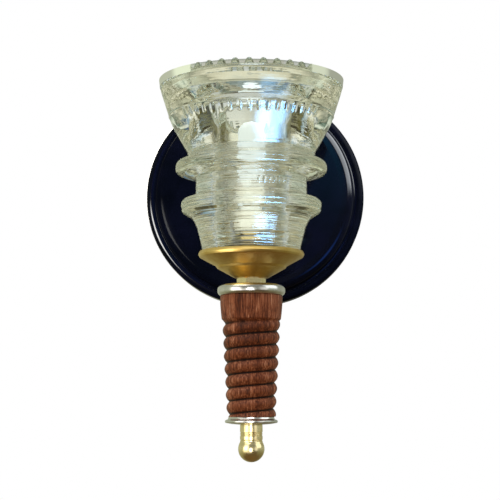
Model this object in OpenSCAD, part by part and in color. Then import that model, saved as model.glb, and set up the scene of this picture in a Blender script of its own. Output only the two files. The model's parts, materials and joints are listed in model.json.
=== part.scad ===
// Wall sconce: an inverted glass pin insulator on a threaded wood insulator pin.
// Millimetres. Origin: centre of the canopy on the wall plane.
// +X to the right, +Y into the wall, +Z up; the front of the lamp faces -Y.

/* [Canopy] */
// Diameter of the round canopy
canopy_d = 122.2; // [119:0.1:124]
// Depth of the canopy from the wall to its face
canopy_depth = 21.4; // [20.6:0.1:24]
// Thickness of the spun sheet
sheet_t = 1; // [0.8:0.1:1.2]

/* [Mounting strap] */
// Width of the strap
strap_w = 22; // [20:1:26]
// Thickness of the strap
strap_t = 2; // [1.5:0.1:2.4]
// Smaller spacing of the wall box screws
box_spacing_min = 69.85; // [68:0.05:72]
// Larger spacing of the wall box screws
box_spacing_max = 88.9; // [86:0.1:89]
// Width of the screw slots
slot_w = 4.6; // [4.4:0.1:5]

/* [Arm] */
// Distance from the wall to the axis of the glass and the pin
reach = 90; // [89:0.5:100]
// Outside diameter of the bent tube
tube_d = 10.2; // [9.8:0.1:10.2]
// Wall thickness of the tube
tube_wall = 1.4; // [1.2:0.1:1.6]
// Distance of the tube's upright run from the wall
riser_y = 40; // [39:0.5:42]
// Depth of the arm's lower end below the canopy centre
arm_drop = 69; // [68:0.5:70]

/* [Glass] */
// Widest diameter of the glass, at the rim
glass_d = 93; // [91:0.1:95]
// Height of the flat rim above the canopy centre
rim_z = 47.2; // [46.8:0.1:49]
// Diameter of the ridge above the wire groove
upper_ridge_d = 76.4; // [74:0.1:79]
// Diameter of the ridge below the wire groove
lower_ridge_d = 71; // [69:0.5:74]
// Diameter of the wire groove
groove_d = 55.9; // [54:0.1:58]
// Number of drip points round the rim
drip_points = 36; // [24:1:40]
// Diameter of a drip point
drip_point_d = 4.6; // [4:0.1:5]

/* [Pin] */
// Diameter of the shank at its top
shank_d = 31; // [30:0.1:32]
// Length of the wood pin
pin_length = 59.7; // [59:0.1:60.5]
// Pitch of the wood thread: four turns to the inch
pitch = 6.35; // [6.1:0.05:6.6]
// Depth of the wood thread
thread_depth = 1.5; // [1:0.1:1.8]

/* [Bulb] */
// Diameter of the lamp capsule
bulb_d = 14; // [13:0.5:14]
// Distance between the middles of the two bulb pins
bulb_pin_spacing = 9; // [8.8:0.1:9.2]

/* [Hidden] */
$fn = 64;

eps = 0.05;            // overshoot of a cutting shape
slip = 0.05;           // radial clearance of one turned piece in another
loose = 0.25;          // radial clearance of a through hole

canopy_r = canopy_d / 2;
rim_r = glass_d / 2;
tube_r = tube_d / 2;
bore_r = tube_r - tube_wall;

// heights on the lamp's axis, measured from the canopy centre
crown_z = -45.4;       // lowest face of the glass
pinhole_z = -37;       // floor of the threaded hole in the glass
cup_top_z = -39.6;
cup_floor_z = -53;
nut_z = -56.5;
pin_top_z = -62;
pin_end_z = pin_top_z - pin_length;
flare_end_z = pin_end_z - 3.9;
ball_z = flare_end_z - 11.9;
ball_r = 6.5;

rod_r = 3.1;           // quarter inch threaded rod
nipple_r = 5.05;       // one eighth pipe thread
coupling_r = 8;
coupling_top_z = pin_top_z;
coupling_end_z = -79.6;

crown_hole_r = 5.6;
pinhole_r = 12;        // crests of the glass thread at the floor
inner_skirt_z = 34.3;  // top of the inner skirt
gap_floor_z = 12.9;    // bottom of the gap between the two skirts

socket_r = 8.8;
socket_z = -30.4;
socket_top_z = -13.6;
bulb_foot_z = -13.3;
bulb_waist_z = -4;
bulb_top_z = 31.5;
bulb_r = bulb_d / 2;

upper_bend_r = 14;
lower_bend_r = 12;
tube_end_y = 12;       // inner end of the tube, from the wall
lead_r = 1;
lead_x = 1.3;          // each lead lies this far from the tube's centre line
lead_bend_r = 5;
connector_y = 6;
screw_y = 7;           // canopy side screws, from the wall
tab_z = 55;            // outer face of the strap's end tabs

// ---- outlines ----

function unit(v) = v / norm(v);

// points of an arc that rounds the corner at q between p and s
function corner(p, q, s, radius, steps = 7) =
    let (u = unit(p - q), w = unit(s - q))
    let (half = acos(max(-1, min(1, u * w))) / 2)
    let (centre = q + unit(u + w) * radius / sin(half))
    let (first = q + u * radius / tan(half) - centre)
    let (last = q + w * radius / tan(half) - centre)
    let (a0 = atan2(first[1], first[0]), turn = atan2(last[1], last[0]) - a0)
    let (sweep = turn > 180 ? turn - 360 : turn < -180 ? turn + 360 : turn)
    [for (i = [0:steps]) centre + radius * [cos(a0 + sweep * i / steps), sin(a0 + sweep * i / steps)]];

// an outline from [r, z] points, where a third value rounds that corner
function flat_point(p) = [p[0], p[1]];
function rounded(points) =
    let (n = len(points))
    [for (i = [0:n - 1]) each
        len(points[i]) < 3 ? [points[i]]
        : corner(flat_point(points[(i + n - 1) % n]), flat_point(points[i]),
                 flat_point(points[(i + 1) % n]), points[i][2])];

module turned(points) {
    rotate_extrude() polygon(rounded(points));
}

module on_axis(z = 0) {
    translate([0, -reach, z]) children();
}

// turns a shape that was drawn along +Z so that it points out from the wall
module from_wall(y = 0) {
    translate([0, -y, 0]) rotate([90, 0, 0]) children();
}

module ring(outer_r, inner_r, height) {
    difference() {
        cylinder(r = outer_r, h = height);
        translate([0, 0, -eps]) cylinder(r = inner_r, h = height + 2 * eps);
    }
}

module hex(across_flats, inner_r, height, chamfer) {
    corner_r = across_flats / sqrt(3);
    difference() {
        intersection() {
            cylinder(r = corner_r, h = height, $fn = 6);
            turned([[0, 0], [corner_r - chamfer, 0], [corner_r + chamfer / 4, chamfer],
                    [corner_r + chamfer / 4, height - chamfer], [corner_r - chamfer, height],
                    [0, height]]);
        }
        translate([0, 0, -eps]) cylinder(r = inner_r, h = height + 2 * eps);
    }
}

module pan_screw(head_r, head_h, shank_r, shank_l) {
    slot = 0.9;
    difference() {
        union() {
            turned([[0, 0], [head_r, 0], [head_r, head_h, head_h * 0.55], [0, head_h]]);
            translate([0, 0, -shank_l]) cylinder(r = shank_r, h = shank_l + eps);
        }
        translate([-head_r, -slot / 2, head_h * 0.5]) cube([2 * head_r, slot, head_h]);
    }
}

// ---- canopy and what fixes it ----

// the canopy's outer outline, moved inwards by inset
function canopy_outline(inset) = [
    [5.3, canopy_depth - inset],
    [14, canopy_depth - inset],
    [canopy_r - 13, canopy_depth - 0.7 - inset, 20],
    [canopy_r - 5.9 - inset, canopy_depth - 1.2 - inset, 3.2 - inset],
    [canopy_r - 5.7 - inset, canopy_depth - 8.9 - inset, 0.9 + inset],
    [canopy_r - inset, canopy_depth - 8.2 - inset, 3.2 - inset],
    [canopy_r - inset, 0]];

module canopy() {
    inner = canopy_outline(sheet_t);
    color("black") difference() {
        from_wall() turned(concat(canopy_outline(0), [for (i = [len(inner) - 1:-1:0]) inner[i]]));
        for (side = [-1, 1])
            translate([0, -screw_y, side * canopy_r])
                cylinder(r = 2.1, h = 8, center = true);
    }
}

module mounting_strap() {
    slot_r = slot_w / 2;
    slot_mid = (box_spacing_min + box_spacing_max) / 4;
    slot_run = (box_spacing_max - box_spacing_min) / 4;
    tab_w = 14;
    tab_reach = 11;
    color("silver") difference() {
        union() {
            translate([-strap_w / 2, -strap_t, -tab_z]) cube([strap_w, strap_t, 2 * tab_z]);
            for (side = [-1, 1])
                translate([-tab_w / 2, -tab_reach, side > 0 ? tab_z - strap_t : -tab_z])
                    cube([tab_w, tab_reach, strap_t]);
        }
        for (side = [-1, 1]) {
            for (end = [-1, 1])
                translate([0, eps, side * slot_mid + end * slot_run]) rotate([90, 0, 0])
                    cylinder(r = slot_r, h = strap_t + 2 * eps);
            translate([-slot_r, -strap_t - eps, side * slot_mid - slot_run])
                cube([slot_w, strap_t + 2 * eps, 2 * slot_run]);
            translate([0, -screw_y, side * tab_z])
                cylinder(r = 1.95, h = 8, center = true);
        }
        translate([0, eps, 0]) rotate([90, 0, 0]) cylinder(r = 5.2, h = strap_t + 2 * eps);
        translate([7, eps, 20]) rotate([90, 0, 0]) cylinder(r = 2.1, h = strap_t + 2 * eps);
    }
}

module canopy_screws() {
    color("dimgray") for (turn = [0, 180])
        rotate([0, turn, 0]) translate([0, -screw_y, canopy_r])
            pan_screw(3.3, 1.7, 1.9, 9);
}

module ground_screw() {
    color("seagreen") translate([7, -strap_t - 2 * lead_r, 20]) rotate([90, 0, 0])
        pan_screw(3.2, 1.8, 2, 2 * lead_r + strap_t);
}

module arm_lock_washer() {
    color("silver") from_wall(canopy_depth - sheet_t - 1) ring(8, tube_r + slip, 1);
}

module ring_terminal() {
    y = canopy_depth - sheet_t - 1.8;
    color("gainsboro") from_wall(y) union() {
        ring(8, tube_r + slip, 0.8);
        translate([5.6, 4, 0]) cube([2.8, 9, 0.8]);
    }
}

module arm_locknut() {
    y = canopy_depth - sheet_t - 5.2;
    color("goldenrod") from_wall(y) hex(14.3, tube_r + slip, 3.4, 0.8);
}

module arm_collar() {
    color("black") from_wall(canopy_depth)
        turned([[tube_r + slip, 0], [9, 0, 0.4], [9, 2.2, 1], [6.6, 3.4, 1], [6.4, 4.6, 0.5],
                [tube_r + slip, 4.6]]);
}

// ---- the bent arm and the wires in it ----

// turns the X-Y plane into the Y-Z plane that the arm lies in
module in_arm_plane() {
    rotate([90, 0, 90]) children();
}

module run(from, to, radius) {
    along = to - from;
    translate([from[0], from[1], 0]) rotate([0, 0, atan2(along[1], along[0])]) rotate([0, 90, 0])
        cylinder(r = radius, h = norm(along));
}

module bend(centre, bend_r, start, radius) {
    translate([centre[0], centre[1], 0]) rotate([0, 0, start])
        rotate_extrude(angle = 90) translate([bend_r, 0]) circle(r = radius);
}

// the arm's centre line from its inner end to its lower end, as a round bar
module arm_path(radius, inner_y, lower_y) {
    top_y = riser_y - upper_bend_r;
    foot_y = riser_y + lower_bend_r;
    foot_z = lower_bend_r - arm_drop;
    in_arm_plane() {
        run([-inner_y, 0], [-top_y, 0], radius);
        bend([-top_y, -upper_bend_r], upper_bend_r, 90, radius);
        run([-riser_y, -upper_bend_r], [-riser_y, foot_z], radius);
        bend([-foot_y, foot_z], lower_bend_r, 270, radius);
        run([-foot_y, -arm_drop], [-lower_y, -arm_drop], radius);
    }
}

module arm_tube() {
    lower_y = reach - coupling_r + 1.6;
    color("black") difference() {
        arm_path(tube_r, tube_end_y, lower_y);
        arm_path(bore_r, tube_end_y - eps, lower_y + eps);
    }
}

module lead(side) {
    in_z = lead_bend_r - arm_drop;
    translate([side * lead_x, 0, 0]) {
        arm_path(lead_r, connector_y + lead_bend_r, reach - lead_bend_r);
        in_arm_plane() {
            bend([lead_bend_r - reach, in_z], lead_bend_r, 180, lead_r);
            run([-reach, in_z], [-reach, socket_z], lead_r);
        }
        translate([side * lead_bend_r, -connector_y - lead_bend_r, 0])
            rotate([0, 0, side > 0 ? 90 : 0])
                rotate_extrude(angle = 90) translate([lead_bend_r, 0]) circle(r = lead_r);
        translate([side * lead_bend_r, -connector_y, 0]) rotate([0, 90 * side, 0])
            cylinder(r = lead_r, h = 16);
    }
}

module lead_black() {
    color("dimgray") lead(1);
}

module lead_white() {
    color("white") lead(-1);
}

module wire_connectors() {
    mouth_x = 15;
    length = 18;
    color("orange") for (side = [-1, 1])
        translate([side * mouth_x, -connector_y, 0]) rotate([0, 90 * side, 0]) difference() {
            turned([[0, 0], [4.9, 0], [4.9, 3.5], [3.4, length, 1], [0, length]]);
            for (turn = [0:45:315]) rotate([0, 0, turn])
                translate([5, 0, 5]) cylinder(r = 0.9, h = length);
            translate([0, 0, -eps]) cylinder(r = 2.4, h = 9);
        }
}

module ground_lead() {
    x = 7;
    low_z = 12.6;
    high_z = 20;
    bend_r = 3;
    front_y = canopy_depth - sheet_t - 1.8 - lead_r;
    back_y = strap_t + lead_r;
    color("limegreen") translate([x, 0, 0]) in_arm_plane() {
        run([-front_y, 6], [-front_y, low_z], lead_r);
        bend([bend_r - front_y, low_z], bend_r, 90, lead_r);
        run([bend_r - front_y, low_z + bend_r], [-back_y - 1.4, low_z + bend_r], lead_r);
    }
}

// ---- wood pin and the metal round it ----

module side_outlet_coupling() {
    wall_z = coupling_end_z + 5;
    color("goldenrod") on_axis() difference() {
        translate([0, 0, coupling_end_z])
            cylinder(r = coupling_r, h = coupling_top_z - coupling_end_z);
        translate([0, 0, wall_z]) cylinder(r = nipple_r + slip, h = 20);
        translate([0, 0, coupling_end_z - eps]) cylinder(r = rod_r + slip, h = 8);
        translate([0, 0, -arm_drop]) rotate([-90, 0, 0]) cylinder(r = tube_r + slip, h = 12);
    }
}

// crest radius of the tapered wood thread at height z
function crest_r(z) = 14.52 + 0.0504 * (z + 74);

// one turning section of the thread's ridge: radius above the root against height
ridge = [[-0.6, -2.85], [0.1, -2.6], [0.85, -1.9], [1, -0.7], [1, 0.7], [0.85, 1.9],
         [0.1, 2.6], [-0.6, 2.85]];

module thread_ridge(start_turn, end_turn, zero_z) {
    steps = 20;            // sections in one turn
    count = round((end_turn - start_turn) * steps);
    n = len(ridge);
    rings = [for (i = [0:count])
        let (turn = start_turn + i / steps, z = zero_z + pitch * turn)
        let (lift = thread_depth * min(1, i / 8, (count - i) / 4))
        [for (p = ridge)
            let (r = crest_r(z) - thread_depth + (p[0] > 0 ? p[0] * lift : p[0]))
            [r * cos(360 * turn), r * sin(360 * turn), z + p[1] * pitch / 6.35]]];
    polyhedron(
        points = [for (section = rings) each section],
        faces = concat(
            [[for (j = [n - 1:-1:0]) j]],
            [for (i = [0:count - 1], j = [0:n - 1])
                [i * n + j, i * n + (j + 1) % n, (i + 1) * n + (j + 1) % n, (i + 1) * n + j]],
            [[for (j = [0:n - 1]) count * n + j]]));
}

module wood_pin() {
    thread_top_z = -73.6;
    root_top_z = -76.2;
    counterbore_r = coupling_r + 0.35;
    color("saddlebrown") on_axis() difference() {
        union() {
            turned([[0, pin_end_z], [crest_r(pin_end_z) - thread_depth, pin_end_z],
                    [crest_r(root_top_z) - thread_depth, root_top_z],
                    [crest_r(thread_top_z) + 0.2, thread_top_z, 0.6],
                    [shank_d / 2 - 0.25, pin_top_z - 4], [shank_d / 2, pin_top_z], [0, pin_top_z]]);
            thread_ridge(-6.6, 0.3, -76.575);
        }
        translate([0, 0, coupling_end_z]) cylinder(r = counterbore_r, h = 30);
        translate([0, 0, pin_end_z - eps]) cylinder(r = rod_r + loose, h = 60);
        translate([0, 0, -arm_drop]) rotate([-90, 0, 0]) cylinder(r = tube_r + loose, h = 20);
    }
}

module tie_rod() {
    color("silver") on_axis(coupling_end_z + 3 - 58) cylinder(r = rod_r, h = 58);
}

module flare_ring() {
    drop = pin_end_z - flare_end_z;
    color("silver") on_axis(flare_end_z)
        turned([[rod_r + 2 * slip, 0], [6.2, 0], [9.8, 0.3, 1.6], [13.05, 0.9, 0.6],
                [13.05, 2, 0.4], [11.5, 2.7, 0.9], [11.3, drop, 0.2], [rod_r + 2 * slip, drop]]);
}

module finial() {
    neck_h = flare_end_z - ball_z;
    neck_r = 5.55;
    grooves = [3.9, 4.65, 5.4, 7.6];
    color("goldenrod") on_axis(flare_end_z) difference() {
        union() {
            translate([0, 0, -neck_h]) sphere(r = ball_r);
            mirror([0, 0, 1])
                turned([[0, 0], [neck_r, 0, 0.3], [neck_r, neck_h - 3], [0, neck_h - 3]]);
        }
        translate([0, 0, -9.6]) cylinder(r = rod_r + slip, h = 10);
        for (z = grooves)
            translate([0, 0, -z]) rotate_extrude() translate([neck_r + 0.05, 0]) circle(r = 0.28);
    }
}

module top_ring() {
    height = 5.5;
    outer_r = 16.9;
    bead_r = 2.3;
    color("silver") on_axis(pin_top_z) difference() {
        turned([[0, 0], [outer_r, 0, bead_r], [outer_r, height, bead_r], [0, height]]);
        translate([0, 0, -eps]) cylinder(r = nipple_r + loose, h = 6);
    }
}

module upper_nipple() {
    foot_z = coupling_end_z + 5;
    color("goldenrod") on_axis(foot_z) difference() {
        cylinder(r = nipple_r, h = socket_z - 0.2 - foot_z);
        translate([0, 0, -eps]) cylinder(r = bore_r, h = 60);
        translate([0, 0, -arm_drop - foot_z]) rotate([-90, 0, 0]) cylinder(r = bore_r, h = 12);
    }
}

module hex_nut() {
    color("goldenrod") on_axis(nut_z) rotate([0, 0, 11]) hex(12.7, nipple_r + slip, 3.5, 0.7);
}

module brass_cup() {
    lip_r = 26.6;
    hole_r = nipple_r + loose;
    color("goldenrod") on_axis()
        turned([[hole_r, cup_floor_z], [8.4, cup_floor_z, 0.6], [17.1, -48.2, 0.5], [17.8, -47.1, 0.5],
                [25.9, -42.7, 1.4], [lip_r, -41.2, 1.2], [25.8, cup_top_z, 0.5],
                [25.25, cup_top_z, 0.2], [25.1, -41.7, 0.8], [16.3, -46.5], [16, -47.8],
                [8.5, cup_floor_z + 1.2], [hole_r, cup_floor_z + 1.2]]);
}

module cup_seat() {
    color("dimgray") on_axis()
        turned([[crown_hole_r, -51.8], [8.2, -51.8], [15.4, -47.9], [15.6, -46.5, 0.3],
                [14.5, crown_z], [crown_hole_r, crown_z]]);
}

// ---- glass ----

// crests and roots of the thread inside the glass, from the mouth down to the floor
function glass_thread(top_z) =
    let (turns = floor((top_z - pinhole_z - 4) / pitch))
    [for (i = [0:turns - 1])
        let (z = top_z - pitch * i, r = pinhole_r + 0.022 * (z - pinhole_z))
        each [[r + 0.9, z, 0.6], [r, z - pitch / 2, 0.6]]];

module glass_insulator() {
    upper_r = upper_ridge_d / 2;
    lower_r = lower_ridge_d / 2;
    groove_r = groove_d / 2;
    outside = [
        [crown_hole_r, crown_z], [15.4, crown_z, 3], [24, -41.7, 3.4], [24.9, -37.3, 8],
        [27.3, -27.6, 8], [lower_r - 6.1, -23.3, 4], [lower_r - 0.6, -20, 2.2],
        [lower_r + 0.2, -14, 2.7], [lower_r - 4.6, -13.3, 2.5], [groove_r, -12.5, 1],
        [groove_r, -2.6, 1], [upper_r - 5, -1.2, 2], [upper_r + 0.1, -0.3, 2.3],
        [upper_r - 0.3, 4.8, 2.8], [32.5, 7.4, 3], [32.1, 10, 1.6],
        [40.3, 24.6, 40], [rim_r - 0.3, 43, 40], [rim_r, rim_z - 0.2, 2.2], [43, rim_z]];
    inside = [
        [37.3, rim_z, 0.6], [35.9, rim_z - 2, 2], [33, 40.4, 8], [27.1, 35.8, 3], [22.4, 33.9, 1.4],
        [20.9, gap_floor_z, 1.3], [17.6, gap_floor_z, 1.3], [18, inner_skirt_z, 1.2],
        [14.3, inner_skirt_z, 1.4], [14.2, gap_floor_z - 0.4, 1]];
    floor_r = pinhole_r - 0.2;
    drip_r = 39;
    color("lightcyan", 0.5) on_axis() union() {
        turned(concat(outside, inside, glass_thread(9.9),
                      [[floor_r, -32, 0.6], [floor_r, pinhole_z, 1.5], [crown_hole_r, pinhole_z]]));
        for (i = [0:drip_points - 1])
            rotate([0, 0, 360 * i / drip_points - 90]) translate([drip_r, 0, rim_z + 0.4])
                sphere(r = drip_point_d / 2);
    }
}

// ---- what clamps the glass, the socket and the bulb ----

module inner_gasket() {
    color("dimgray") on_axis(pinhole_z) ring(9.8, crown_hole_r, 1);
}

module inner_washer() {
    color("silver") on_axis(pinhole_z + 1) ring(10.2, nipple_r + loose, 1);
}

module inner_locknut() {
    color("goldenrod") on_axis(pinhole_z + 2) hex(14.3, nipple_r + slip, 3.2, 0.8);
}

module socket_bracket() {
    tab_x = socket_r + 0.1;
    plate_t = 1.1;
    plate_z = pinhole_z + 5.3;
    color("silver") on_axis() difference() {
        union() {
            translate([0, 0, plate_z]) cylinder(r = socket_r, h = plate_t);
            for (side = [-1, 1])
                translate([side > 0 ? tab_x : -tab_x - plate_t, -3, plate_z]) cube([plate_t, 6, 8]);
            translate([-tab_x - plate_t, -3, plate_z]) cube([2 * tab_x + 2 * plate_t, 6, plate_t]);
        }
        translate([0, 0, plate_z - eps]) cylinder(r = nipple_r + slip, h = 2);
    }
}

// the two places in the socket that the bulb's pins reach into
module at_pins() {
    for (side = [-1, 1]) translate([side * bulb_pin_spacing / 2, 0, 0]) children();
}

module lamp_socket() {
    wire_r = lead_r + 0.15;
    color("white") on_axis() difference() {
        translate([0, 0, socket_z])
            turned([[0, 0], [socket_r - 1, 0], [socket_r, 1], [socket_r, 9], [socket_r, 15.6],
                    [socket_r - 1, socket_top_z - socket_z, 0.4], [0, socket_top_z - socket_z]]);
        at_pins() translate([-1.3, -2, socket_top_z - 12]) cube([2.6, 4, 12 + eps]);
        for (side = [-1, 1]) translate([side * lead_x, 0, socket_z - eps])
            cylinder(r = wire_r, h = 2);
    }
}

module socket_contacts() {
    color("goldenrod") on_axis() at_pins() for (side = [-1, 1])
        translate([-1.1, side * 1.2 - 0.25, socket_top_z - 12]) cube([2.2, 0.5, 10]);
}

module bulb_pins() {
    pin_l = 9.4;
    color("silver") on_axis() at_pins() translate([0, 0, bulb_foot_z - pin_l]) union() {
        for (side = [-1, 1]) translate([side * 0.75, 0, 0.4])
            cylinder(r = 0.4, h = pin_l - 0.4);
        translate([-0.75, 0, 0.4]) rotate([0, 90, 0]) cylinder(r = 0.4, h = 1.5);
    }
}

module bulb_base() {
    color("whitesmoke") on_axis() translate([0, 0, bulb_foot_z])
        turned([[0, 0], [5.9, 0, 0.5], [bulb_r - 0.3, 1.4, 0.5],
                [bulb_r - 0.3, bulb_waist_z - bulb_foot_z], [0, bulb_waist_z - bulb_foot_z]]);
}

module bulb_capsule() {
    skin = 0.8;
    dome = 4.5;
    color("ivory", 0.6) on_axis()
        turned([[bulb_r - skin, bulb_waist_z], [bulb_r, bulb_waist_z],
                [bulb_r, bulb_top_z, dome], [0, bulb_top_z], [0, bulb_top_z - skin],
                [bulb_r - skin, bulb_top_z - skin, dome - skin]]);
}

module bulb_core() {
    color("khaki") on_axis() translate([0, 0, bulb_waist_z])
        turned([[0, 0], [4.6, 0], [4.6, 30, 0.8], [0, 30]]);
}

canopy();
mounting_strap();
canopy_screws();
ground_screw();
ring_terminal();
ground_lead();
arm_lock_washer();
arm_locknut();
arm_collar();
arm_tube();
side_outlet_coupling();
wood_pin();
tie_rod();
flare_ring();
finial();
top_ring();
upper_nipple();
hex_nut();
brass_cup();
cup_seat();
glass_insulator();
inner_gasket();
inner_washer();
inner_locknut();
socket_bracket();
lamp_socket();
socket_contacts();
bulb_base();
bulb_pins();
bulb_capsule();
bulb_core();
lead_black();
lead_white();
wire_connectors();
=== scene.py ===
import json
import math

import bpy
import bmesh
import numpy as np
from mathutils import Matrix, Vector


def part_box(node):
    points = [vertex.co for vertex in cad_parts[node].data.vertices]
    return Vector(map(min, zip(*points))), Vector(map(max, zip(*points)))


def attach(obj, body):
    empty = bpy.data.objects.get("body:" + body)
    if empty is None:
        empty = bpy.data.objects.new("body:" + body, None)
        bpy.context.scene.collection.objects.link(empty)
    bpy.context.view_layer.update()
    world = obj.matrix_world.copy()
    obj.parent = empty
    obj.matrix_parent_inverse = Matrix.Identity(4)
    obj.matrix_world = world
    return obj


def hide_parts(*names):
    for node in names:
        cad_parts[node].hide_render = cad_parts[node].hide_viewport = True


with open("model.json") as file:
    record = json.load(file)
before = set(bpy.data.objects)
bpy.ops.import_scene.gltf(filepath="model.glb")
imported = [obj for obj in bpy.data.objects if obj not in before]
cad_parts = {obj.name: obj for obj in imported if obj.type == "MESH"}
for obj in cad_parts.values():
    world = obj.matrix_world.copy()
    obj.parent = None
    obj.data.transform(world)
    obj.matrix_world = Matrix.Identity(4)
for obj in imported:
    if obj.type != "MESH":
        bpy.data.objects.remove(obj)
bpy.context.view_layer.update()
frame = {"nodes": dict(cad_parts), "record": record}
scene = bpy.context.scene
MM = 0.001
SHARP = 35  # degrees between two faces from which their edge is shown sharp

# ---- camera ----
glass_lo, glass_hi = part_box("glass_insulator")
reach = -(glass_lo.y + glass_hi.y) / 2 / MM
camera = bpy.data.objects.new("camera", bpy.data.cameras.new("camera"))
scene.collection.objects.link(camera)
scene.camera = camera
camera.location = (0.017, -0.762, -0.1143)
camera.rotation_euler = (math.radians(96.4), 0, math.radians(1.505))
camera.data.lens = 97.27
camera.data.sensor_width = 36
camera.data.clip_start = 0.01
camera.data.clip_end = 50


# ---- meshes ----
def corner(p, q, s, radius, steps):
    """Points of the arc that rounds the corner q between p and s."""
    p, q, s = (np.array(v[:2], float) for v in (p, q, s))
    u = (p - q) / np.linalg.norm(p - q)
    w = (s - q) / np.linalg.norm(s - q)
    half = math.acos(max(-1, min(1, float(u @ w)))) / 2
    mid = (u + w) / np.linalg.norm(u + w)
    centre = q + mid * radius / math.sin(half)
    a, b = (q + v * radius / math.tan(half) - centre for v in (u, w))
    a0 = math.atan2(a[1], a[0])
    turn = (math.atan2(b[1], b[0]) - a0 + math.pi) % (2 * math.pi) - math.pi
    return [
        centre + radius * np.array([math.cos(a0 + turn * i / steps), math.sin(a0 + turn * i / steps)])
        for i in range(steps + 1)
    ]


def rounded(points, steps=10):
    """The outline with every point that has a third number, a radius, turned into an arc."""
    out = []
    for i, p in enumerate(points):
        if len(p) < 3:
            out.append(np.array(p, float))
        else:
            out += corner(points[i - 1], p, points[(i + 1) % len(points)], p[2], steps)
    return out


def refined(outline, longest):
    """The closed outline with no side longer than this."""
    out = []
    for i, p in enumerate(outline):
        q = outline[(i + 1) % len(outline)]
        n = max(1, math.ceil(float(np.linalg.norm(q - p)) / longest))
        out += [p + (q - p) * k / n for k in range(n)]
    return out


def made(name, verts, faces, body, slot, stands_for, sharp=SHARP):
    """A mesh object that rides on a body in place of the CAD node."""
    mesh = bpy.data.meshes.new(name)
    mesh.from_pydata(verts, [], faces)
    mesh.validate()
    bm = bmesh.new()
    bm.from_mesh(mesh)
    bmesh.ops.remove_doubles(bm, verts=bm.verts, dist=1e-7)
    bmesh.ops.recalc_face_normals(bm, faces=bm.faces)
    if bm.calc_volume(signed=True) < 0:
        bmesh.ops.reverse_faces(bm, faces=bm.faces)
    bm.to_mesh(mesh)
    bm.free()
    mesh.shade_smooth()
    mesh.set_sharp_from_angle(angle=math.radians(sharp))
    obj = bpy.data.objects.new(name, mesh)
    scene.collection.objects.link(obj)
    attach(obj, body)
    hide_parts(*stands_for)
    obj.data.materials.append(MATERIALS[slot])
    return obj


def grid_faces(rows, cols):
    """Quads of a closed outline of `rows` points turned in `cols` steps."""
    out = []
    for i in range(rows):
        j = (i + 1) % rows
        for k in range(cols):
            m = (k + 1) % cols
            out.append((i * cols + k, i * cols + m, j * cols + m, j * cols + k))
    return out


def lathe(name, points, body, slot, node, segs=160, wall=False, longest=None, steps=10, shape=None, sharp=SHARP):
    """Turns an outline of (radius, height) in mm about the lamp's axis, or about the canopy's axis."""
    outline = rounded(points, steps)
    if longest:
        outline = refined(outline, longest)
    r, z = np.array(outline).T
    angle = np.arange(segs) * 2 * math.pi / segs
    R, A = np.meshgrid(r, angle, indexing="ij")
    Z, _ = np.meshgrid(z, angle, indexing="ij")
    if shape:
        R, Z = shape(R, A, Z)
    if wall:
        v = np.stack([R * np.cos(A), -Z, R * np.sin(A)], -1)
    else:
        v = np.stack([R * np.cos(A), R * np.sin(A) - reach, Z], -1)
    return made(name, (v.reshape(-1, 3) * MM).tolist(), grid_faces(len(outline), segs), body, slot, [node], sharp)


def height_of(node):
    """The bottom and the top of a CAD node, in mm."""
    lo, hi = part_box(node)
    return lo.z / MM, hi.z / MM


def smooth(a, b, x):
    """0 at a and 1 at b, eased at both ends."""
    t = np.clip((x - a) / (b - a), 0, 1)
    return t * t * (3 - 2 * t)


# ---- node helpers ----
def nd(tree, kind, values=None, **props):
    """A node whose inputs, by name or number, are set to a value or linked to a socket."""
    node = tree.nodes.new(kind)
    for k, v in props.items():
        setattr(node, k, v)
    for k, v in (values or {}).items():
        socket = node.inputs[k]
        if isinstance(v, bpy.types.NodeSocket):
            tree.links.new(v, socket)
        else:
            socket.default_value = v
    return node


def mth(tree, op, a, b=0.0):
    return nd(tree, "ShaderNodeMath", {0: a, 1: b}, operation=op).outputs[0]


def times(tree, a, b):
    return mth(tree, "MULTIPLY", a, b)


def plus(tree, a, b):
    return mth(tree, "ADD", a, b)


def length(tree, a, b):
    """Length of the vector (a, b)."""
    return mth(tree, "SQRT", plus(tree, times(tree, a, a), times(tree, b, b)))


def blend(tree, factor, a, b):
    """The socket a where the factor is 0, the colour b where it is 1."""
    values = {"Factor": factor, 6: a, 7: (*b, 1)}
    return nd(tree, "ShaderNodeMix", values, data_type="RGBA").outputs[2]


def ramp(tree, fac, stops):
    """A colour from stops of (position, colour)."""
    n = nd(tree, "ShaderNodeValToRGB", {"Fac": fac})
    e = n.color_ramp.elements
    while len(e) < len(stops):
        e.new(0.5)
    for i, (pos, colour) in enumerate(stops):
        e[i].position = pos
        e[i].color = (*colour, 1)
    return n.outputs["Color"]


def span(tree, value, a, b, lo, hi, kind="LINEAR"):
    """The value from a to b made into lo to hi."""
    values = {"Value": value, "From Min": a, "From Max": b, "To Min": lo, "To Max": hi}
    return nd(tree, "ShaderNodeMapRange", values, interpolation_type=kind).outputs["Result"]


def coords(tree, scale=(1, 1, 1)):
    """Object coordinates in mm times scale, from the lamp's axis."""
    values = {
        "Vector": nd(tree, "ShaderNodeTexCoord").outputs["Object"],
        "Location": (0, reach * scale[1], 0),
        "Scale": tuple(s / MM for s in scale),
    }
    return nd(tree, "ShaderNodeMapping", values).outputs["Vector"]


def noise(tree, vector, scale=1.0, detail=4.0, rough=0.5):
    values = {"Vector": vector, "Scale": scale, "Detail": detail, "Roughness": rough}
    return nd(tree, "ShaderNodeTexNoise", values).outputs["Fac"]


def bump(tree, height, distance, strength=1.0):
    values = {"Height": height, "Distance": distance, "Strength": strength}
    return nd(tree, "ShaderNodeBump", values).outputs["Normal"]


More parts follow.
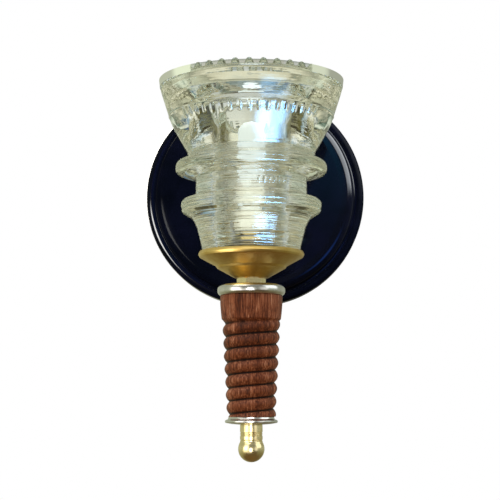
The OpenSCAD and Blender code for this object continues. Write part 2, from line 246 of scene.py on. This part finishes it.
def material(name):
    """A new material: itself, its node tree, its Principled shader and its output."""
    m = bpy.data.materials.new(name)
    m.use_nodes = True
    tree = m.node_tree
    tree.nodes.clear()
    shader = nd(tree, "ShaderNodeBsdfPrincipled")
    out = nd(tree, "ShaderNodeOutputMaterial", {"Surface": shader.outputs[0]})
    return m, tree, shader, out


def put(tree, shader, **values):
    """Sets or links inputs of the shader; an underscore stands for a space."""
    for k, v in values.items():
        socket = shader.inputs[k.replace("_", " ")]
        if isinstance(v, bpy.types.NodeSocket):
            tree.links.new(v, socket)
        else:
            socket.default_value = v


def rgb(r, g, b):
    """A colour as it shows on a screen, 0 to 255, as a scene-linear one."""
    return tuple((c / 255 / 12.92) if c <= 10 else ((c / 255 + 0.055) / 1.055) ** 2.4 for c in (r, g, b))


def cylinder_coords(tree):
    """(radius in mm, height in mm) from the lamp's axis."""
    at = nd(tree, "ShaderNodeSeparateXYZ", {"Vector": coords(tree)}).outputs
    return length(tree, at[0], at[1]), at[2]


# ---- materials ----
def enamel():
    """Gloss black enamel over a trace of orange peel; the face shines on the right, the rim on the left."""
    m, t, s, _ = material("black_enamel")
    peel = noise(t, coords(t), 0.55, 2)
    haze = noise(t, coords(t), 0.08, 5)
    where = nd(t, "ShaderNodeSeparateXYZ", {"Vector": nd(t, "ShaderNodeTexCoord").outputs["Object"]}).outputs
    x, z = (times(t, where[i], 1 / MM) for i in (0, 2))
    r = length(t, x, z)
    on_rim = span(t, r, 56, 57.5, 0, 1, "SMOOTHSTEP")
    on_face = span(t, r, 56, 57.5, 1, 0, "SMOOTHSTEP")
    face_sheen = times(t, span(t, x, -25, 20, 0.004, 0.045), on_face)
    rim_sheen = times(t, span(t, x, -20, 25, 0.05, 0.003), on_rim)
    dull_rim = times(t, times(t, on_rim, span(t, x, -10, 20, 0, 1)), 0.22)
    put(
        t,
        s,
        Base_Color=ramp(t, haze, [(0.3, (0.0002, 0.0003, 0.0006)), (0.7, (0.0004, 0.0005, 0.0014))]),
        Roughness=plus(t, span(t, haze, 0.3, 0.7, 0.05, 0.10), dull_rim),
        Specular_IOR_Level=plus(t, face_sheen, rim_sheen),
        Normal=bump(t, peel, 0.00002, 0.25),
    )
    return m


def metal(name, colour, worn, low, high, turned=0.0, speck=0.15):
    """Turned or plated metal: cloudy tone, spots of tarnish, fine lathe rings."""
    m, t, s, _ = material(name)
    cloud = noise(t, coords(t), 0.22, 6, 0.6)
    spots = noise(t, coords(t), 1.6, 3, 0.6)
    tone = ramp(t, cloud, [(0.3, worn), (0.62, colour)])
    tarnished = blend(t, span(t, spots, 0.62, 0.8, 0, speck, "SMOOTHSTEP"), tone, [c * 0.4 for c in worn])
    r, z = cylinder_coords(t)
    rings = noise(t, nd(t, "ShaderNodeCombineXYZ", {0: r, 1: z}).outputs[0], 3.0, 2)
    put(
        t,
        s,
        Base_Color=tarnished,
        Metallic=1.0,
        Roughness=span(t, cloud, 0.3, 0.7, high, low),
        Normal=bump(t, rings, 0.00002, turned) if turned else bump(t, spots, 0.00002, 0.15),
    )
    return m


def wood():
    """Stained wood: streaks and pores along the grain, dark blotches, and painted shade that darkens the thread roots.
    """
    m, t, s, _ = material("stained_wood")
    streak = noise(t, coords(t, (1.5, 1.5, 0.06)), 1.0, 6, 0.62)
    broad = noise(t, coords(t, (0.16, 0.16, 0.03)), 1.0, 3, 0.5)
    pores = noise(t, coords(t, (4.2, 4.2, 0.28)), 1.0, 2, 0.5)
    blotch = noise(t, coords(t, (0.3, 0.3, 0.22)), 1.0, 5, 0.6)
    base = ramp(
        t,
        plus(t, times(t, streak, 0.62), times(t, broad, 0.38)),
        [
            (0.34, rgb(42, 17, 9)),
            (0.44, rgb(98, 46, 25)),
            (0.51, rgb(134, 70, 40)),
            (0.57, rgb(168, 102, 70)),
            (0.66, rgb(206, 148, 118)),
        ],
    )
    dark = blend(t, span(t, blotch, 0.5, 0.72, 0, 0.55, "SMOOTHSTEP"), base, rgb(58, 26, 18))
    pored = blend(t, span(t, pores, 0.58, 0.70, 0, 0.8, "SMOOTHSTEP"), dark, rgb(34, 14, 10))
    # painted shade: the deepest part of each thread root is darkened almost to black
    root = nd(t, "ShaderNodeAttribute", attribute_name="root").outputs["Fac"]
    rooted = blend(t, root, pored, rgb(24, 9, 7))
    grain = mth(t, "SUBTRACT", streak, times(t, pores, 0.7))
    put(
        t,
        s,
        Base_Color=rooted,
        Roughness=span(t, blotch, 0.3, 0.7, 0.40, 0.60),
        Specular_IOR_Level=0.3,
        Normal=bump(t, grain, 0.00012, 0.7),
    )
    return m


def clear_glass():
    """Pressed glass with shallow waves, streaks round its waist, a few seeds, and drip points tinted grey as painted
    shade.
    """
    m, t, s, out = material("clear_glass")
    wave = noise(t, coords(t), 0.10, 2)
    ripple = noise(t, coords(t), 0.5, 3)
    seeds = noise(t, coords(t), 2.2, 1)
    r, z = cylinder_coords(t)
    streaks = noise(t, nd(t, "ShaderNodeCombineXYZ", {0: times(t, r, 0.15), 1: z}).outputs[0], 0.42, 2)
    waist = span(t, z, 8, 15, 1.0, 0.04, "SMOOTHSTEP")
    height = plus(t, times(t, wave, 1.1), times(t, ripple, 0.05))
    height = plus(t, height, times(t, times(t, streaks, waist), 9.0))
    put(
        t,
        s,
        # painted shade: the glass above 46 mm, where the drip points stand, is tinted grey-green to darken them
        Base_Color=ramp(t, span(t, z, 46, 47, 0, 1), [(0, (0.985, 0.99, 0.965)), (1, (0.66, 0.71, 0.69))]),
        Roughness=span(t, seeds, 0.66, 0.74, 0.0, 0.08),
        IOR=1.50,
        Transmission_Weight=1.0,
        Normal=bump(t, height, 0.00025, 0.6),
    )
    clear = nd(t, "ShaderNodeBsdfTransparent", {"Color": (0.97, 0.975, 0.95, 1)})
    lit = nd(
        t,
        "ShaderNodeMixShader",
        {0: nd(t, "ShaderNodeLightPath").outputs["Is Shadow Ray"], 1: s.outputs[0], 2: clear.outputs[0]},
    )
    t.links.new(lit.outputs[0], out.inputs["Surface"])
    depth = nd(t, "ShaderNodeVolumeAbsorption", {"Color": (0.80, 0.84, 0.70, 1), "Density": 5.0})
    t.links.new(depth.outputs[0], out.inputs["Volume"])
    return m


def plain(name, dark, light, low, high, grain=0.6, depth=0.00003, **more):
    """Moulded, painted or fired stuff: a slightly uneven colour and sheen over a fine grain."""
    m, t, s, _ = material(name)
    cloud = noise(t, coords(t), 0.2, 5, 0.6)
    fine = noise(t, coords(t), grain * 3, 3)
    put(
        t,
        s,
        Base_Color=ramp(t, cloud, [(0.3, dark), (0.7, light)]),
        Roughness=span(t, fine, 0.3, 0.7, low, high),
        Normal=bump(t, fine, depth, 0.4),
        **more,
    )
    return m


MATERIALS = {
    "black_enamel": enamel(),
    "zinc_steel": metal("zinc_steel", rgb(178, 180, 184), rgb(138, 140, 146), 0.32, 0.48),
    "nickel": metal("nickel", rgb(232, 231, 228), rgb(208, 207, 204), 0.12, 0.22, turned=0.12, speck=0.1),
    "satin_brass": metal("satin_brass", rgb(234, 204, 128), rgb(220, 184, 102), 0.30, 0.38, turned=0.25, speck=0.1),
    "polished_brass": metal("polished_brass", rgb(250, 236, 190), rgb(236, 212, 154), 0.16, 0.26, turned=0.12),
    "clear_glass": clear_glass(),
    "stained_wood": wood(),
    "black_rubber": plain("black_rubber", (0.012, 0.012, 0.013), (0.028, 0.028, 0.030), 0.55, 0.8),
    "white_ceramic": plain("white_ceramic", rgb(232, 228, 216), rgb(246, 243, 234), 0.12, 0.25, Coat_Weight=0.5),
    "bulb_diffuser": plain(
        "bulb_diffuser",
        rgb(226, 236, 244),
        rgb(236, 244, 250),
        0.35,
        0.5,
        Emission_Color=(0.80, 0.94, 1.0, 1),
        Emission_Strength=0.55,
    ),
    "bulb_body": plain("bulb_body", rgb(226, 226, 222), rgb(240, 240, 236), 0.35, 0.5),
    "phosphor": plain("phosphor", rgb(226, 196, 92), rgb(240, 214, 120), 0.5, 0.7),
    "green_screw": plain("green_screw", rgb(28, 104, 58), rgb(40, 128, 74), 0.25, 0.4, Metallic=0.8),
    "black_insulation": plain("black_insulation", (0.012, 0.012, 0.013), (0.03, 0.03, 0.032), 0.35, 0.5),
    "white_insulation": plain("white_insulation", rgb(224, 222, 214), rgb(240, 238, 230), 0.35, 0.5),
    "green_insulation": plain("green_insulation", rgb(30, 120, 60), rgb(44, 146, 78), 0.35, 0.5),
    "orange_plastic": plain("orange_plastic", rgb(222, 108, 24), rgb(240, 134, 44), 0.35, 0.5),
}
slots = {p["node"]: p["material_slot"] for p in frame["record"]["subparts"]}
for node, obj in frame["nodes"].items():
    obj.data.materials.clear()
    obj.data.materials.append(MATERIALS[slots[node]])
    obj.data.shade_smooth()


# ---- canopy ----
canopy_lo, canopy_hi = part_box("canopy")
canopy_r = canopy_hi.x / MM
canopy_depth = -canopy_lo.y / MM


def canopy_outline(inset):
    """Half the section of the sheet, in (radius, depth), moved in by the sheet's thickness."""
    r, d = canopy_r, canopy_depth - inset
    return [
        [5.3, d],
        [14, d],
        [r - 13, d - 0.7, 20],
        [r - 5.9 - inset, d - 1.2, 4.8 - inset],
        [r - 5.7 - inset, d - 8.9, 0.9 + inset],
        [r - inset, d - 8.2, 3.2 - inset],
        [r - inset, 0],
    ]


skin = lathe(
    "canopy_skin",
    canopy_outline(0) + canopy_outline(1)[::-1],
    "fixture",
    "black_enamel",
    "canopy",
    segs=256,
    wall=True,
    steps=16,
    longest=4,
)
holes = []
for side in (-1, 1):
    bm = bmesh.new()
    bmesh.ops.create_cone(bm, cap_ends=True, segments=48, radius1=2.1 * MM, radius2=2.1 * MM, depth=8 * MM)
    bmesh.ops.translate(bm, verts=bm.verts, vec=(0, -7 * MM, side * canopy_r * MM))
    mesh = bpy.data.meshes.new("drill")
    bm.to_mesh(mesh)
    bm.free()
    holes.append(bpy.data.objects.new("drill", mesh))


def cut(obj, tools):
    """Takes the tools away from obj for good, and removes them."""
    for tool in tools:
        scene.collection.objects.link(tool)
        mod = obj.modifiers.new("cut", "BOOLEAN")
        mod.operation = "DIFFERENCE"
        mod.solver = "EXACT"
        mod.object = tool
        bpy.context.view_layer.update()
        done = bpy.data.meshes.new_from_object(obj.evaluated_get(bpy.context.evaluated_depsgraph_get()))
        obj.modifiers.clear()
        obj.data = done
        bpy.data.objects.remove(tool)
    obj.data.shade_smooth()
    obj.data.set_sharp_from_angle(angle=math.radians(SHARP))


cut(skin, holes)

# ---- metal round the pin ----
cup_lo, cup_hi = height_of("brass_cup")
cup = lathe(
    "spun_cup",
    [
        [5.3, cup_lo], [8.4, cup_lo, 0.6], [17.1, cup_lo + 4.8, 0.5], [17.8, cup_lo + 5.9, 0.5],
        [25.9, cup_hi - 3.1, 1.4], [26.6, cup_hi - 1.6, 1.2], [25.8, cup_hi, 0.5], [25.25, cup_hi, 0.2],
        [25.1, cup_hi - 2.1, 0.8], [16.3, cup_hi - 6.9], [16, cup_hi - 8.2], [8.5, cup_lo + 1.2], [5.3, cup_lo + 1.2],
    ],
    "fixture",
    "satin_brass",
    "brass_cup",
    segs=224,
    longest=2,
)
ring_lo, ring_hi = height_of("top_ring")
top_ring = lathe(
    "rolled_ring",
    [[5.3, ring_lo], [16.9, ring_lo, 2.3], [16.9, ring_hi, 2.3], [5.3, ring_hi]],
    "fixture",
    "nickel",
    "top_ring",
    segs=192,
)
flare_lo, flare_hi = height_of("flare_ring")
flare = lathe(
    "flared_ring",
    [
        [3.2, flare_lo], [6.2, flare_lo], [9.8, flare_lo + 0.3, 1.6], [13.05, flare_lo + 0.9, 0.6],
        [13.05, flare_lo + 2, 0.4], [11.5, flare_lo + 2.7, 0.9], [11.3, flare_hi, 0.2], [3.2, flare_hi],
    ],
    "flare_ring",
    "nickel",
    "flare_ring",
    segs=176,
)


def finial_outline():
    """A ball, a neck with four turned grooves, and the blind hole from above."""
    lo, hi = height_of("finial")
    ball_r, neck, groove_r = 6.5, 5.55, 0.28
    out = [[0.001, lo]]
    turn = math.pi - math.asin(neck / ball_r)
    for i in range(1, 41):
        a = turn * i / 40
        out.append([ball_r * math.sin(a), lo + ball_r - ball_r * math.cos(a)])
    for groove in (7.6, 5.4, 4.65, 3.9):
        for a in range(-90, 91, 18):
            c, s = math.cos(math.radians(a)), math.sin(math.radians(a))
            out.append([neck + 0.05 - groove_r * c, hi - groove + groove_r * s])
    return out + [[neck, hi, 0.3], [3.15, hi], [3.15, hi - 9.6], [0.001, hi - 9.6]]


finial = lathe("ball_finial", finial_outline(), "finial", "polished_brass", "finial", segs=128)

# ---- the wood pin with its turned thread ----
pin_lo, pin_hi = height_of("wood_pin")
pitch = 6.35
depth = 1.5
half_ridge = 3.02
zero_z = pin_hi - 14.575
thread_end = pin_hi - 14.2
thread_top = pin_hi - 11.6
shank_r = 15.5
cone_h = 7.6


def crest_r(z):
    """Radius of the tapering thread over its crests."""
    return 14.52 + 0.0504 * (z - pin_hi + 12)


def pin_mesh():
    """The pin with its right-hand thread, and the bore and well inside it."""
    cols = 360
    angle = np.arange(cols) * 2 * math.pi / cols
    z = np.concatenate([np.linspace(pin_lo, pin_hi - 10.5, 300), np.linspace(pin_hi - 10.3, pin_hi, 30)])
    Z, A = np.meshgrid(z, angle, indexing="ij")
    crest = crest_r(Z)
    turn = (Z - zero_z) / pitch - A / (2 * math.pi)
    near = np.round(turn)
    off = (turn - near) * pitch
    along = near + A / (2 * math.pi)
    lift = np.clip((0.3 - along) / 0.2, 0, 1)
    wobble = 0.08 * np.sin(3 * A + Z * 0.35) + 0.05 * np.sin(7 * A - Z * 0.8)
    shape = np.clip(1 - (np.abs(off - 0.25) / half_ridge) ** 1.8, 0, 1) ** 0.9
    R = crest - depth + depth * lift * shape + wobble * 0.5 * lift * shape
    top = crest_r(thread_top) + 0.2
    shank = top + (shank_r - top) * np.clip((Z - thread_top) / cone_h, 0, 1) ** 0.8
    slope = np.clip((Z - thread_end) / (thread_top - thread_end), 0, 1)
    foot = (crest - depth) + (top - crest + depth) * slope**1.6
    R = np.where(Z > thread_end, np.maximum(R, foot), R)
    R = np.where(Z > thread_top, shank, R)
    # painted shade: how deep in the thread's root each point sits, which darkens the wood's colour there
    root = np.clip((crest - depth * 0.55 - R) / (depth * 0.45), 0, 1)
    root = np.where(Z > thread_top, 0, root)
    bore, well, well_floor = 3.35, 8.35, pin_hi - 17.6
    hollow = ((well, pin_hi), (well, well_floor), (bore, well_floor), (bore, pin_lo))
    RR = np.concatenate([R] + [np.full((1, cols), r) for r, _ in hollow])
    ZZ = np.concatenate([Z] + [np.full((1, cols), h) for _, h in hollow])
    AA = np.broadcast_to(angle, RR.shape)
    v = np.stack([RR * np.cos(AA), RR * np.sin(AA) - reach, ZZ], -1).reshape(-1, 3) * MM
    obj = made("turned_pin", v.tolist(), grid_faces(len(RR), cols), "fixture", "stained_wood", ["wood_pin"], 50)
    values = np.concatenate([root, np.zeros((len(hollow), cols))]).reshape(-1)
    mark = obj.data.attributes.new("root", "FLOAT", "POINT")
    mark.data.foreach_set("value", values.astype(np.float32))


pin_mesh()

# ---- glass ----
crown = height_of("glass_insulator")[0]
rim = 45.9
drip_count, drip_circle_r, drip_r, drip_stretch, drip_step = 36, 39, 2.3, 1.55, 0.4
rim_r = (glass_hi.x - glass_lo.x) / 2 / MM
upper_r, lower_r, groove_r = 38.2, 35.5, 27.95
OUTSIDE = [
    [5.6, crown], [15.4, crown, 3], [24, -41.7, 3.4], [24.9, -37.3, 8], [27.3, -27.6, 8], [lower_r - 6.1, -23.3, 4],
    [lower_r - 0.6, -20, 2.2], [lower_r + 0.2, -14, 2.7], [lower_r - 4.6, -13.3, 2.5], [groove_r, -12.5, 1],
    [groove_r, -2.6, 1], [upper_r - 5, -1.2, 2], [upper_r + 0.1, -0.3, 2.3], [upper_r - 0.3, 4.8, 2.8],
    [32.5, 7.4, 3], [32.1, 10, 1.6], [40.3, 24.6, 40], [rim_r - 0.3, 43, 40], [rim_r, rim - 0.2, 2.2], [43, rim],
]
INSIDE = [
    [37.3, rim, 0.6], [35.9, rim - 2, 2], [33, 40.4, 8], [27.1, 35.8, 3], [22.4, 33.9, 1.4],
    [20.9, 12.9, 1.3], [17.6, 12.9, 1.3], [18, 34.3, 1.2], [14.3, 34.3, 1.4], [14.2, 12.5, 1],
    [13.3, 10.4, 0.8], [12.6, -32, 0.8], [11.8, -34, 0.6], [11.8, -37, 1.5], [5.6, -37],
]
# plain raised dashes: their angles from the front in degrees, and their height in mm
SKIRT_DASHES = [-52 + 6.5 * i for i in range(17)], 26.2
GROOVE_DASHES = [9 + 5.6 * i for i in range(6)], -7.2


def glass_shape(R, A, Z):
    """The turned glass with its thread, drip points, mould seam and dashes."""
    base_R, base_Z = R.copy(), Z.copy()
    deg = np.degrees(np.mod(A + math.pi / 2 + math.pi, 2 * math.pi)) - 180

    def dashes(rows, radius, push, half_w, half_h, edge, core_w, core_h):
        """How far the dashes stand out."""
        out = np.zeros_like(R)
        for angle in rows[0]:
            dx = np.abs((deg - angle) * math.radians(1) * radius)
            dz = np.abs(base_Z - rows[1])
            across = smooth(half_w + edge, half_w * core_w, dx)
            out = np.maximum(out, push * across * smooth(half_h + edge, half_h * core_h, dz))
        return out

    # the thread in the pin hole
    wall = (R < 14.4) & (Z < 11.5) & (Z > -33.5) & (R > 11.9)
    thread = 1.5 * np.abs(np.sin(math.pi * (Z / pitch - A / (2 * math.pi)))) ** 0.8 - 0.9
    fade = smooth(-33.5, -30, Z) * (1 - smooth(8.5, 11.5, Z))
    R = np.where(wall, R + thread * fade, R)
    # the ring of drip points
    near = np.mod(A * drip_count / (2 * math.pi) + 0.5, 1) - 0.5
    across = near * 2 * math.pi / drip_count * base_R
    far2 = across**2 + (base_R - drip_circle_r) ** 2
    lift = drip_stretch * np.sqrt(np.clip(drip_r**2 - far2, 0, None)) + drip_step
    flat = (base_Z > rim - 0.01) & (base_R > 36)
    Z = np.where(flat & (far2 < drip_r**2), Z + lift, Z)
    # the mould seam and the dashes
    skirt = (base_R > 32) & (base_Z > 12) & (base_Z < 44) & (base_R > 10 + 0.62 * base_Z)
    seam = 0.28 * np.exp(-(((base_Z - 28.4) / 0.32) ** 2))
    R = np.where(skirt, R + np.maximum(seam, dashes(SKIRT_DASHES, 41, 0.5, 0.5, 2.0, 0.8, 0.4, 0.6)), R)
    groove = (np.abs(base_R - groove_r) < 0.3) & (base_Z < -3) & (base_Z > -12)
    R = np.where(groove, R + dashes(GROOVE_DASHES, 28, 0.35, 0.35, 0.9, 0.5, 0.5, 0.5), R)
    return R, Z


glass = lathe(
    "pressed_glass",
    OUTSIDE + INSIDE,
    "fixture",
    "clear_glass",
    "glass_insulator",
    segs=576,
    longest=0.55,
    steps=8,
    shape=glass_shape,
    sharp=60,
)

# ---- room and light ----
floor = bpy.data.objects.new("floor", bpy.data.meshes.new("floor"))
scene.collection.objects.link(floor)
floor.data.from_pydata([(-6, -6, -0.42), (6, -6, -0.42), (6, 6, -0.42), (-6, 6, -0.42)], [], [(0, 1, 2, 3)])
fm = bpy.data.materials.new("floor")
fm.use_nodes = True
ft = fm.node_tree
ft.nodes.clear()
mixed = nd(
    ft,
    "ShaderNodeMixShader",
    {
        0: nd(ft, "ShaderNodeLightPath").outputs["Is Camera Ray"],
        1: nd(ft, "ShaderNodeBsdfDiffuse", {"Color": (0.42, 0.33, 0.22, 1)}).outputs[0],
        2: nd(ft, "ShaderNodeEmission", {"Color": (1, 1, 1, 1), "Strength": 1.0}).outputs[0],
    },
)
nd(ft, "ShaderNodeOutputMaterial", {"Surface": mixed.outputs[0]})
floor.data.materials.append(fm)
floor.visible_glossy = False
floor.visible_transmission = False
# rays that have passed through glass go past these pieces, so that no black is seen in the glass
behind_glass = (
    "arm_tube", "arm_collar", "arm_locknut", "arm_lock_washer", "ring_terminal", "mounting_strap", "canopy_screws",
    "ground_screw", "ground_lead", "wire_connectors", "lead_black", "lead_white",
)
for piece in [skin] + [frame["nodes"][n] for n in behind_glass]:
    piece.visible_transmission = False
# fewer bounces leave dark specks in the glass
scene.cycles.max_bounces = 40
scene.cycles.transmission_bounces = 40
scene.cycles.glossy_bounces = 40

world = bpy.data.worlds.new("room")
scene.world = world
world.use_nodes = True
wt = world.node_tree
wt.nodes.clear()
ray = nd(wt, "ShaderNodeTexCoord").outputs["Generated"]
axes = nd(wt, "ShaderNodeSeparateXYZ", {0: ray}).outputs
az = mth(wt, "ARCTAN2", axes[0], times(wt, axes[1], -1.0))
el = mth(wt, "ARCSINE", axes[2])


def between(tree, value, low, high, soft):
    """1 between low and high degrees, 0 outside, with soft edges."""
    d = math.radians
    return times(
        tree,
        span(tree, value, d(low - soft), d(low + soft), 0, 1, "SMOOTHSTEP"),
        span(tree, value, d(high - soft), d(high + soft), 1, 0, "SMOOTHSTEP"),
    )


def window(az0, az1, el0, el1, soft, colour, strength=1.0):
    """Light from a soft-edged patch of the room: azimuth 0 is behind the camera, 90 to the right."""
    inside_it = times(wt, between(wt, az, az0, az1, soft), between(wt, el, el0, el1, soft))
    values = {0: tuple(c * strength for c in colour), "Scale": inside_it}
    return nd(wt, "ShaderNodeVectorMath", values, operation="SCALE").outputs[0]


def room(heights, patches, least=(0.02, 0.02, 0.015)):
    """The room's colour from floor to ceiling, with its windows and, where they are negative, its shadows."""
    total = ramp(wt, span(wt, el, -math.pi / 2, math.pi / 2, 0, 1), heights)
    for patch in patches:
        total = nd(wt, "ShaderNodeVectorMath", {0: total, 1: window(*patch)}, operation="ADD").outputs[0]
    total = nd(wt, "ShaderNodeVectorMath", {0: total, 1: least}, operation="MAXIMUM").outputs[0]
    return nd(wt, "ShaderNodeBackground", {"Color": total, "Strength": 1.0}).outputs[0]


COOL, WARM = (0.92, 0.97, 1.0), (1.0, 0.96, 0.86)
diffuse_room = room(
    [(0.0, (0.34, 0.27, 0.19)), (0.45, (0.42, 0.40, 0.35)), (1.0, (0.80, 0.80, 0.76))],
    [
        (-45, 6, -30, 2, 8, WARM, 0.8),
        (40, 110, 4, 45, 8, COOL, 0.7),
        (-70, -15, 30, 70, 12, (1, 0.98, 0.92), 2.6),
    ],
)
glossy_room = room(
    [
        (0.0, (0.16, 0.10, 0.04)),
        (0.36, (0.12, 0.09, 0.05)),
        (0.50, (0.30, 0.30, 0.25)),
        (0.66, (0.22, 0.22, 0.19)),
        (1.0, (0.60, 0.60, 0.54)),
    ],
    [
        (-42, 6, -32, 0, 5, (1, 0.99, 0.94), 0.6),
        (60, 179, -40, 70, 14, (0.08, 0.10, 0.06)),
        (-179, -60, -40, 70, 14, (0.20, 0.23, 0.14)),
    ],
)
glass_room = room(
    [
        (0.0, (0.56, 0.64, 0.68)),
        (0.16, (0.58, 0.62, 0.60)),
        (0.30, (0.50, 0.49, 0.34)),
        (0.37, (0.12, 0.11, 0.06)),
        (0.425, (0.84, 0.81, 0.60)),
        (0.47, (0.10, 0.095, 0.05)),
        (0.535, (1.0, 0.97, 0.80)),
        (0.60, (0.14, 0.13, 0.07)),
        (0.70, (0.74, 0.69, 0.48)),
        (0.82, (0.40, 0.36, 0.20)),
        (1.0, (0.34, 0.30, 0.18)),
    ],
    [
        (-152, -96, 16, 66, 7, (-0.60, -0.56, -0.44)),
        (-150, -100, -28, -8, 5, (-0.40, -0.36, -0.26)),
        (-152, -100, -8, 14, 5, (-0.14, -0.04, -0.02)),
        (98, 148, 16, 60, 7, (-0.56, -0.52, -0.40)),
        (100, 148, -28, -8, 5, (-0.40, -0.36, -0.26)),
        (100, 148, -8, 14, 5, (-0.16, -0.06, -0.04)),
        (146, 169, 14, 50, 6, (-0.12, 0.06, 0.30)),
        (168, 180, 14, 50, 4, (0.38, 0.46, 0.60)),
        (-180, -152, 14, 50, 8, (0.36, 0.42, 0.46)),
        (152, 180, -12, 10, 4, (-0.24, -0.14, 0.0)),
        (-180, -154, -12, 10, 4, (-0.20, -0.12, -0.02)),
        (148, 180, -60, -20, 8, (0.20, 0.22, 0.17)),
        (-180, -148, -60, -20, 8, (0.20, 0.22, 0.17)),
        (-60, 60, 6, 60, 10, (0.16, 0.14, 0.10)),
    ],
    (0.05, 0.045, 0.025),
)
rays = nd(wt, "ShaderNodeLightPath").outputs
seen_room = nd(wt, "ShaderNodeBackground", {"Color": (1, 1, 1, 1), "Strength": 1.0}).outputs[0]
light = diffuse_room
for kind, other in (("Is Glossy Ray", glossy_room), ("Is Transmission Ray", glass_room), ("Is Camera Ray", seen_room)):
    light = nd(wt, "ShaderNodeMixShader", {0: rays[kind], 1: light, 2: other}).outputs[0]
nd(wt, "ShaderNodeOutputWorld", {"Surface": light})


def lamp(name, az0, az1, el0, el1, colour, strength, receivers, soft, distance=1.4):
    """A soft-edged box of light between these angles, as seen from the middle, for the receivers alone."""
    half_w = distance * math.tan(math.radians(az1 - az0) / 2)
    half_h = distance * math.tan(math.radians(el1 - el0) / 2)
    data = bpy.data.lights.new(name, "AREA")
    data.shape = "RECTANGLE"
    data.size, data.size_y = 2 * half_w, 2 * half_h
    data.color = colour
    data.energy = strength * math.pi * 4 * half_w * half_h
    data.use_nodes = True
    lt = data.node_tree
    lt.nodes.clear()
    place = nd(lt, "ShaderNodeSeparateXYZ", {0: nd(lt, "ShaderNodeNewGeometry").outputs["Parametric"]}).outputs
    edges = [
        times(
            lt,
            span(lt, place[i], 0, soft, 0, 1, "SMOOTHSTEP"),
            span(lt, place[i], 1 - soft, 1, 1, 0, "SMOOTHSTEP"),
        )
        for i in (0, 1)
    ]
    glow = nd(lt, "ShaderNodeEmission", {"Strength": times(lt, *edges)})
    nd(lt, "ShaderNodeOutputLight", {"Surface": glow.outputs[0]})
    obj = bpy.data.objects.new(name, data)
    scene.collection.objects.link(obj)
    a, e = math.radians((az0 + az1) / 2), math.radians((el0 + el1) / 2)
    way = Vector((math.sin(a) * math.cos(e), -math.cos(a) * math.cos(e), math.sin(e)))
    obj.location = Vector((0, -0.05, -0.02)) + way * distance
    obj.rotation_mode = "QUATERNION"
    obj.rotation_quaternion = way.to_track_quat("Z", "Y")
    obj.visible_camera = False
    obj.visible_transmission = False
    group = bpy.data.collections.new(name)
    for r in receivers:
        group.objects.link(r)
    obj.light_linking.receiver_collection = group


enamelled = [skin, frame["nodes"]["arm_collar"], frame["nodes"]["arm_tube"]]
inside = [
    frame["nodes"][n]
    for n in (
        "lamp_socket", "socket_contacts", "socket_bracket", "bulb_base", "bulb_pins", "inner_washer",
        "inner_locknut", "inner_gasket", "upper_nipple", "cup_seat",
    )
]
round_metals = [top_ring, flare, finial, frame["nodes"]["hex_nut"]]
metals = round_metals + [cup]
for row in (
    ("right_window", 26, 100, 8, 58, COOL, 60, enamelled, 0.2),
    ("left_glow", -178, -140, 0, 40, WARM, 14, enamelled, 0.3),
    ("low_window", -50, -15, -13, 9, (1, 1, 0.96), 200, enamelled, 0.3),
    ("blue_edge", 14, 50, -32, -2, (0.04, 0.2, 1.0), 20, enamelled, 0.4),
    ("face_navy", -24, 10, -6, 26, (0.0, 0.02, 1.0), 2.6, enamelled, 0.45),
    ("face_teal", -2, 22, 4, 38, (0.02, 0.50, 1.0), 7, enamelled, 0.5),
    ("cool_front", 8, 60, -58, -14, (0.26, 0.58, 1.0), 34, [glass], 0.35),
    ("rim_left", -115, -58, -20, 62, (0.90, 1.0, 0.72), 0.34, [glass], 0.3),
    ("rim_right", 58, 115, -20, 62, (0.90, 1.0, 0.72), 0.3, [glass], 0.3),
    ("white_front", -16, 12, -30, 8, (1, 1, 0.96), 5.2, round_metals, 0.35),
    ("side_window", 46, 104, 0, 46, COOL, 1.3, round_metals, 0.2),
    ("high_window", -72, -18, 34, 72, WARM, 2.2, round_metals, 0.25),
    ("warm_left", -78, -26, -34, 20, (1, 0.97, 0.88), 1.7, metals, 0.35),
    ("cup_left", -82, -20, -50, 0, (1, 0.97, 0.86), 3.0, [cup], 0.4),
    ("flare_front", -20, 16, -12, 34, (1, 1, 0.96), 7.0, [flare], 0.35),
    ("cup_lip", -60, 50, 16, 56, (1, 0.97, 0.90), 1.6, [cup], 0.3),
    ("ball_glow", -72, -14, -16, 40, (1, 0.98, 0.88), 1.8, [finial], 0.4),
    ("inside_glow", -40, 50, -30, 30, (0.84, 0.94, 1.0), 7.0, inside, 0.3),
    ("pale_right", 24, 64, -24, 20, (1, 0.98, 0.94), 0.7, round_metals, 0.4),
):
    lamp(*row)

scene.view_settings.view_transform = "Standard"
